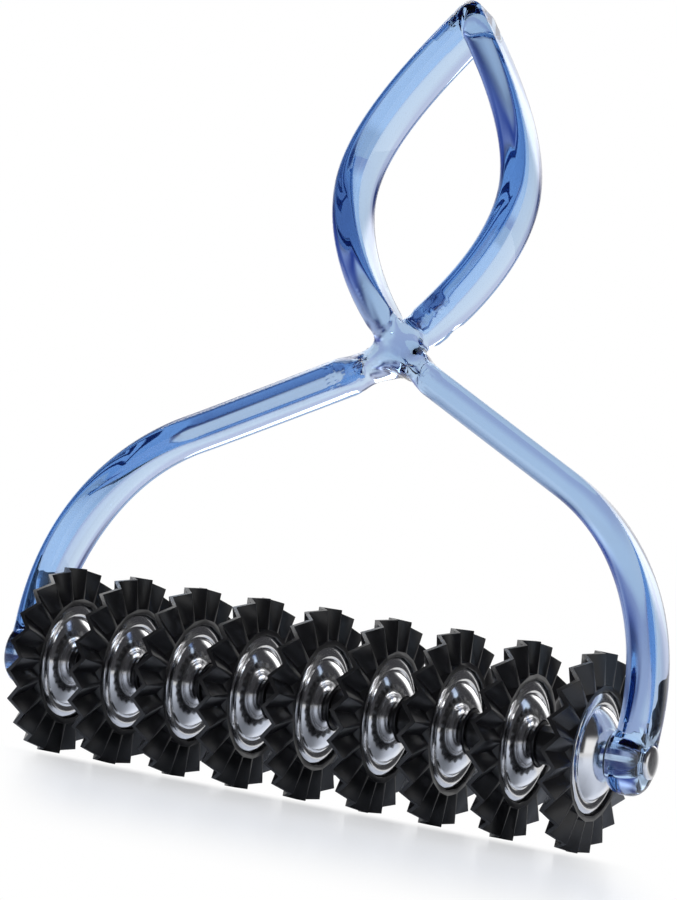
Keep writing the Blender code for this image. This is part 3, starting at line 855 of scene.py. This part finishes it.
def turned_piece(name, points, facets):
    """Turn a closed outline of (x, radius) points about the axle."""
    piece = polyline(name, [(x, AXLE_HEIGHT + radius) for x, radius in points + points[:1]])
    open_mesh(piece)
    bpy.ops.mesh.spin(steps=facets, angle=2 * math.pi, center=(0, 0, AXLE_HEIGHT), axis=(1, 0, 0))
    bpy.ops.object.mode_set(mode="OBJECT")
    return clean(piece)


def curve_points(start, start_pull, end_pull, end, points):
    """Points of one smooth curve in (x, radius)."""
    return [tuple(place) for place in interpolate_bezier(start, start_pull, end_pull, end, points)]


def dome_outline(sizes):
    """Outline of the dome's sheet at the middle wheel: brim, groove, crown and the hole's rolled edge."""
    seat = DOME_LOW.x - WHEEL_LOW.x - HUB_HALF
    top = DOME_HIGH.x - WHEEL_LOW.x - HUB_HALF
    face = seat + sizes.sheet
    brim = DOME_RADIUS - sizes.brim_width
    outer = [
        (seat, DOME_RADIUS - sizes.sheet / 3),
        (seat + sizes.sheet / 5, DOME_RADIUS),
        (face - sizes.brim_drop, DOME_RADIUS - sizes.sheet / 5),
        (face, brim + sizes.sheet),
        (face - sizes.groove_depth / 2, brim + sizes.sheet / 4),
        (face - sizes.groove_depth, brim - sizes.sheet / 4),
    ]
    start = Vector((face - sizes.groove_depth / 2, brim - sizes.sheet / 2 - sizes.groove_depth))
    end = Vector((top, sizes.hole_radius))
    rise = end.x - start.x
    run = start.y - end.y
    start_pull = start + Vector((rise * 0.42, -run * 0.16))
    end_pull = end + Vector((-rise * 0.12, run * 0.4))
    crown = curve_points(start, start_pull, end_pull, end, sizes.crown_points)
    inner = [
        (top - sizes.sheet, sizes.hole_radius),
        (seat + rise * 0.5, brim - run * 0.45),
        (seat, brim - sizes.sheet),
    ]
    return outer + crown + inner


class ROLLER_OT_domes(Operator):
    """Model the polished steel dome on each side of every wheel"""

    bl_idname = "roller.domes"
    bl_label = "Domes"

    def execute(self, context):
        sizes = context.scene.roller_domes
        material = turned_steel("polished_steel", sizes, rough_low=0.1, rough_high=0.19, line_scale=5200.0)
        right = turned_piece("dome", dome_outline(sizes), sizes.facets)
        left = turned_copy(right, "dome_turned")
        for index in range(WHEEL_COUNT):
            number = str(index + 1)
            low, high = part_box("cutter_wheel_" + number)
            for side, pattern in (("right", right), ("left", left)):
                pick(pattern)
                bpy.ops.object.duplicate()
                dome = bpy.context.object
                dome.location.x = (low.x + high.x) / 2
                settle(dome, "steel_dome_" + side + "_" + number)
                node = "dome_" + side + "_" + number
                finish_piece(dome, material, "wheel_" + number, "polished_steel", node)
        for pattern in (right, left):
            bpy.data.objects.remove(pattern, do_unlink=True)
        return {"FINISHED"}


# Axle


class ROLLER_OT_axle(Operator):
    """Finish the axle rod in steel and round its two ends"""

    bl_idname = "roller.axle"
    bl_label = "Axle"

    def execute(self, context):
        sizes = context.scene.roller_domes
        material = turned_steel("axle_steel", sizes, rough_low=0.15, rough_high=0.3, line_scale=2400.0)
        rod = frame["nodes"]["axle_rod"].data
        rod.materials.clear()
        rod.materials.append(material)
        rise = CAP_HIGH.x - CAP_LOW.x
        radius = sizes.pin_radius
        round_start = Vector((CAP_LOW.x + rise / 3, radius))
        side_pull = Vector((CAP_HIGH.x - rise / 8, radius))
        front_pull = Vector((CAP_HIGH.x, radius * 0.7))
        front = Vector((CAP_HIGH.x, 0))
        end_round = curve_points(round_start, side_pull, front_pull, front, sizes.pin_points)
        outline = [(CAP_LOW.x, 0), (CAP_LOW.x, radius)] + end_round
        right = turned_piece("pin_end_right", outline, sizes.facets)
        left = turned_copy(right, "pin_end_left")
        for side, piece in (("right", right), ("left", left)):
            finish_piece(piece, material, "frame", "axle_steel", "end_cap_" + side)
        return {"FINISHED"}


# Stage


def mixed(tree, factor, first, second):
    """One shader where the factor is 0 and the other where it is 1."""
    node = tree.nodes.new("ShaderNodeMixShader")
    tree.links.new(factor, node.inputs["Fac"])
    tree.links.new(first, node.inputs[1])
    tree.links.new(second, node.inputs[2])
    return node.outputs["Shader"]


def white(brightness):
    """White of one brightness."""
    return brightness, brightness, brightness


def glow(tree, shade):
    """An even glow of one colour."""
    node = tree.nodes.new("ShaderNodeEmission")
    node.inputs["Color"].default_value = (*shade, 1.0)
    return node.outputs["Emission"]


def stepped(tree, value, start, end):
    """A value that runs smoothly from 0 at the start to 1 at the end."""
    node = tree.nodes.new("ShaderNodeMapRange")
    node.interpolation_type = "SMOOTHSTEP"
    node.inputs["From Min"].default_value = start
    node.inputs["From Max"].default_value = end
    tree.links.new(value, node.inputs["Value"])
    return node.outputs["Result"]


def spot(tree, places, patch):
    """1 inside a soft oval on the floor, from its middle and its half sizes along X and Y."""
    middle_x, middle_y, half_x, half_y = patch
    soft_start = 0.7
    soft_end = 1.3
    offset = vector_worked(tree, "SUBTRACT", places, (middle_x, middle_y, 0))["Vector"]
    scaled = vector_worked(tree, "MULTIPLY", offset, (1 / half_x, 1 / half_y, 0))["Vector"]
    distance = vector_worked(tree, "LENGTH", scaled)["Value"]
    return worked(tree, "SUBTRACT", 1.0, stepped(tree, distance, soft_start, soft_end))


def floor_material(sizes, views):
    """Pale glossy floor: near the roller its real lit shading shows in a painted lavender shade patch under
    the wheels, which runs out into the white studio; rays through the plastic see painted dark shade patches
    and a painted lit patch on it.
    """
    cloud_scale = 6.0
    material, tree, shader, places = new_material("floor")
    # Painted shade: the lavender base colour tints the floor's real lit shading as the shade under the
    # wheels
    shader.inputs["Base Color"].default_value = (*sizes.floor_colour, 1.0)
    tree.links.new(ranged(tree, noise(tree, places, cloud_scale), 0.2, 0.28), shader.inputs["Roughness"])
    stretched = vector_worked(tree, "MULTIPLY", places, (sizes.patch_stretch, 1.0, 0.0))["Vector"]
    reach = vector_worked(tree, "LENGTH", stretched)["Value"]
    away = stepped(tree, reach, sizes.patch_reach, sizes.patch_reach + sizes.patch_fade)
    split = tree.nodes.new("ShaderNodeSeparateXYZ")
    tree.links.new(places, split.inputs["Vector"])
    # From here the mask of the painted shade patch under the wheels: it fades in at the horizon, runs out in
    # front and to the sides, and slants to the right as shade from a lamp on the left falls; near behind the
    # roller it is added too
    full_reach = sizes.shade_reach * sizes.shade_front_share
    front = stepped(tree, split.outputs["Y"], -sizes.shade_reach, -full_reach)
    horizon = stepped(tree, split.outputs["Y"], -sizes.horizon_fade, 0)
    behind = stepped(tree, split.outputs["Y"], 0, sizes.patch_reach)
    paths = tree.nodes.new("ShaderNodeLightPath")
    # own: the floor's real lit shading, in its painted lavender shade colour
    own = shader.outputs["BSDF"]
    painted_shade_mask = worked(tree, "MULTIPLY", worked(tree, "SUBTRACT", 1.0, horizon), front)
    slanted = worked(tree, "MULTIPLY", split.outputs["Y"], sizes.shade_slant)
    side = worked(tree, "ABSOLUTE", worked(tree, "ADD", split.outputs["X"], slanted), 0)
    full_side = sizes.shade_side * sizes.shade_side_share
    painted_shade_mask = worked(tree, "MULTIPLY", painted_shade_mask, stepped(tree, side, sizes.shade_side, full_side))
    near_behind = worked(tree, "MULTIPLY", behind, worked(tree, "SUBTRACT", 1.0, away))
    painted_shade_mask = worked(tree, "ADD", painted_shade_mask, near_behind)
    painted_shade_mask = worked(tree, "MULTIPLY", painted_shade_mask, sizes.floor_share)
    # The camera sees white, and inside the painted shade patch the floor's own shading at the floor share
    seen = mixed(tree, painted_shade_mask, glow(tree, white(1)), own)
    # Rays through the plastic see a white table with painted dark shade patches and a painted lit patch
    patches = (
        (views.back_patch, views.dark),
        (views.front_patch, views.dark),
        (views.lit_patch, white(views.lit_level)),
        (views.side_patch, views.dark),
    )
    through = glow(tree, views.table_colour)
    for patch, shade in patches:
        through = mixed(tree, spot(tree, places, patch), through, glow(tree, shade))
    # Other rays see the floor's own shading near the roller and an even glow further off
    unseen = mixed(tree, away, own, glow(tree, white(sizes.floor_level)))
    unseen = mixed(tree, paths.outputs["Is Transmission Ray"], unseen, through)
    surface = mixed(tree, paths.outputs["Is Camera Ray"], unseen, seen)
    tree.links.new(surface, tree.nodes["Material Output"].inputs["Surface"])
    return material


def add_floor(sizes, views):
    """One sheet that is level under and behind the roller and falls away in front of it."""
    floor = start_plane()
    bpy.ops.transform.resize(value=(2 * sizes.reach, 2 * sizes.reach, 1))
    bpy.ops.mesh.bisect(plane_co=(0, 0, 0), plane_no=(0, 1, 0))
    bpy.ops.mesh.select_all(action="DESELECT")
    shape = bmesh.from_edit_mesh(floor.data)
    for vertex in shape.verts:
        if vertex.co.y < -WELD_DISTANCE:
            vertex.co.z = vertex.co.y * math.tan(sizes.fall)
    bmesh.update_edit_mesh(floor.data)
    bpy.ops.object.mode_set(mode="OBJECT")
    settle(floor, "floor")
    floor.data.materials.append(floor_material(sizes, views))
    return floor


def add_lamp(name, place, target, size, power):
    """A square soft lamp that faces its target."""
    deselect()
    bpy.ops.object.light_add(type="AREA", location=place)
    lamp = bpy.context.object
    lamp.name = name
    lamp.data.size = size
    lamp.data.energy = power
    lamp.rotation_mode = "QUATERNION"
    lamp.rotation_quaternion = (Vector(target) - Vector(place)).to_track_quat("-Z", "Y")
    return lamp


def plain_colour(tree, shade):
    """One colour as a socket."""
    node = tree.nodes.new("ShaderNodeRGB")
    node.outputs["Color"].default_value = (*shade, 1.0)
    return node.outputs["Color"]


def blended(tree, factor, first, second):
    """One colour where the factor is 0 and the other where it is 1."""
    node = tree.nodes.new("ShaderNodeMix")
    node.data_type = "RGBA"
    tree.links.new(factor, node.inputs["Factor"])
    tree.links.new(first, node.inputs["A"])
    tree.links.new(second, node.inputs["B"])
    return node.outputs["Result"]


def window(tree, ray, edges, soft):
    """1 where the ray points between two bearings and two elevations, with soft edges."""
    left, right, low, high = edges
    sides = (
        ((math.cos(left), -math.sin(left), 0), 0),
        ((-math.cos(right), math.sin(right), 0), 0),
        ((0, 0, 1), math.sin(low)),
        ((0, 0, -1), -math.sin(high)),
    )
    inside = 1.0
    for inward, limit in sides:
        dot = vector_worked(tree, "DOT_PRODUCT", ray, inward)["Value"]
        edge = stepped(tree, dot, limit - math.sin(soft), limit + math.sin(soft))
        inside = worked(tree, "MULTIPLY", edge, inside)
    return inside


def add_world(sizes, views):
    """A white studio: metal mirrors its screen, strip and soft box, and the plastic has views of its own."""
    world = bpy.data.worlds.new("studio")
    world.use_nodes = True
    tree = world.node_tree
    background = tree.nodes["Background"]
    ray = tree.nodes.new("ShaderNodeTexCoord").outputs["Generated"]
    paths = tree.nodes.new("ShaderNodeLightPath")
    glossy_ray = paths.outputs["Is Glossy Ray"]
    plastic_ray = paths.outputs["Is Transmission Ray"]
    bright = window(tree, ray, sizes.screen, sizes.soft_edge)
    bright = worked(tree, "MAXIMUM", bright, window(tree, ray, sizes.side_box, sizes.soft_edge))
    mirrored_dark = worked(tree, "MULTIPLY", glossy_ray, worked(tree, "SUBTRACT", 1.0, bright))
    seen = blended(tree, mirrored_dark, plain_colour(tree, white(1)), plain_colour(tree, sizes.far_gloss))
    areas = (
        (views.board, views.dark),
        (views.left_beam, views.dark),
        (views.camera_side, views.dark),
        (views.screen, white(views.screen_level)),
        (views.front_lamp, white(views.front_level)),
        (views.right_lamp, white(views.right_level)),
        (views.ceiling, views.dark),
        (views.left_board, views.dark),
        (views.left_post, views.dark),
        (views.lower_board, views.dark),
        (views.slit, white(views.slit_level)),
    )
    through = plain_colour(tree, views.wall_colour)
    for edges, shade in areas:
        area = window(tree, ray, edges, sizes.soft_edge)
        through = blended(tree, area, through, plain_colour(tree, shade))
    seen = blended(tree, plastic_ray, seen, through)
    tree.links.new(seen, background.inputs["Color"])
    direct = worked(tree, "MAXIMUM", paths.outputs["Is Camera Ray"], glossy_ray)
    direct = worked(tree, "MAXIMUM", direct, plastic_ray)
    strength = ranged(tree, direct, sizes.plain_level, 1.0)
    strip = window(tree, ray, sizes.strip, sizes.soft_edge)
    strip = worked(tree, "MULTIPLY", strip, glossy_ray)
    extra = worked(tree, "MULTIPLY", strip, sizes.strip_level - 1)
    tree.links.new(worked(tree, "ADD", strength, extra), background.inputs["Strength"])
    bpy.context.scene.world = world


def add_camera():
    """The camera at the photograph's place, which looks slightly up at the roller and leans to one side."""
    azimuth = 0.4937
    elevation = -0.1929
    roll = 0.2341
    distance = 0.67948
    focal_pixels = 3099.9
    image_height = 900
    target = Vector((-0.00897, 0, 0.055963 + AXLE_HEIGHT))
    back = Vector(
        (
            math.sin(azimuth) * math.cos(elevation),
            -math.cos(azimuth) * math.cos(elevation),
            math.sin(elevation),
        )
    )
    right = Vector((0, 0, 1)).cross(back).normalized()
    up = back.cross(right)
    leaned_right = math.cos(roll) * right + math.sin(roll) * up
    leaned_up = math.cos(roll) * up - math.sin(roll) * right
    deselect()
    bpy.ops.object.camera_add(location=target + back * distance)
    camera = bpy.context.object
    camera.rotation_euler = Matrix((leaned_right, leaned_up, back)).transposed().to_euler()
    camera.data.sensor_fit = "VERTICAL"
    camera.data.sensor_height = 36
    camera.data.lens = focal_pixels * camera.data.sensor_height / image_height
    camera.data.clip_start = 0.01
    camera.data.clip_end = 20
    bpy.context.scene.camera = camera


class ROLLER_OT_stage(Operator):
    """Set the floor, the lamps, the white studio and the camera"""

    bl_idname = "roller.stage"
    bl_label = "Stage"

    def execute(self, context):
        sizes = context.scene.roller_stage
        views = context.scene.roller_views
        add_floor(sizes, views)
        add_lamp("key_lamp", place=(-0.7, 0.2, 1.2), target=(0, 0, 0.08), size=0.9, power=9.0)
        add_world(sizes, views)
        add_camera()
        context.scene.view_settings.view_transform = "Standard"
        context.scene.cycles.max_bounces = sizes.light_turns
        context.scene.cycles.transmission_bounces = sizes.light_turns
        context.scene.cycles.glossy_bounces = sizes.light_turns
        return {"FINISHED"}


class VIEW3D_PT_roller(Panel):
    """The roller's sizes and its building steps"""

    bl_label = "Pasta cutting roller"
    bl_space_type = "VIEW_3D"
    bl_region_type = "UI"
    bl_category = "Roller"

    def draw(self, context):
        groups = (
            (context.scene.roller_handle, ("roller.handle",)),
            (context.scene.roller_wheels, ("roller.wheels",)),
            (context.scene.roller_domes, ("roller.domes", "roller.axle")),
            (context.scene.roller_stage, ("roller.stage",)),
            (context.scene.roller_views, ()),
        )
        for sizes, steps in groups:
            box = self.layout.box()
            for key in type(sizes).__annotations__:
                box.prop(sizes, key)
            for step in steps:
                box.operator(step)


CLASSES = (
    RollerHandle,
    RollerWheels,
    RollerDomes,
    RollerStage,
    RollerViews,
    ROLLER_OT_handle,
    ROLLER_OT_wheels,
    ROLLER_OT_domes,
    ROLLER_OT_axle,
    ROLLER_OT_stage,
    VIEW3D_PT_roller,
)


def register():
    for item in CLASSES:
        bpy.utils.register_class(item)
    bpy.types.Scene.roller_handle = PointerProperty(type=RollerHandle)
    bpy.types.Scene.roller_wheels = PointerProperty(type=RollerWheels)
    bpy.types.Scene.roller_domes = PointerProperty(type=RollerDomes)
    bpy.types.Scene.roller_stage = PointerProperty(type=RollerStage)
    bpy.types.Scene.roller_views = PointerProperty(type=RollerViews)


def unregister():
    del bpy.types.Scene.roller_views
    del bpy.types.Scene.roller_stage
    del bpy.types.Scene.roller_domes
    del bpy.types.Scene.roller_wheels
    del bpy.types.Scene.roller_handle
    for item in reversed(CLASSES):
        bpy.utils.unregister_class(item)


def main():
    register()
    bpy.ops.roller.handle()
    bpy.ops.roller.wheels()
    bpy.ops.roller.domes()
    bpy.ops.roller.axle()
    bpy.ops.roller.stage()


if __name__ == "__main__":
    main()
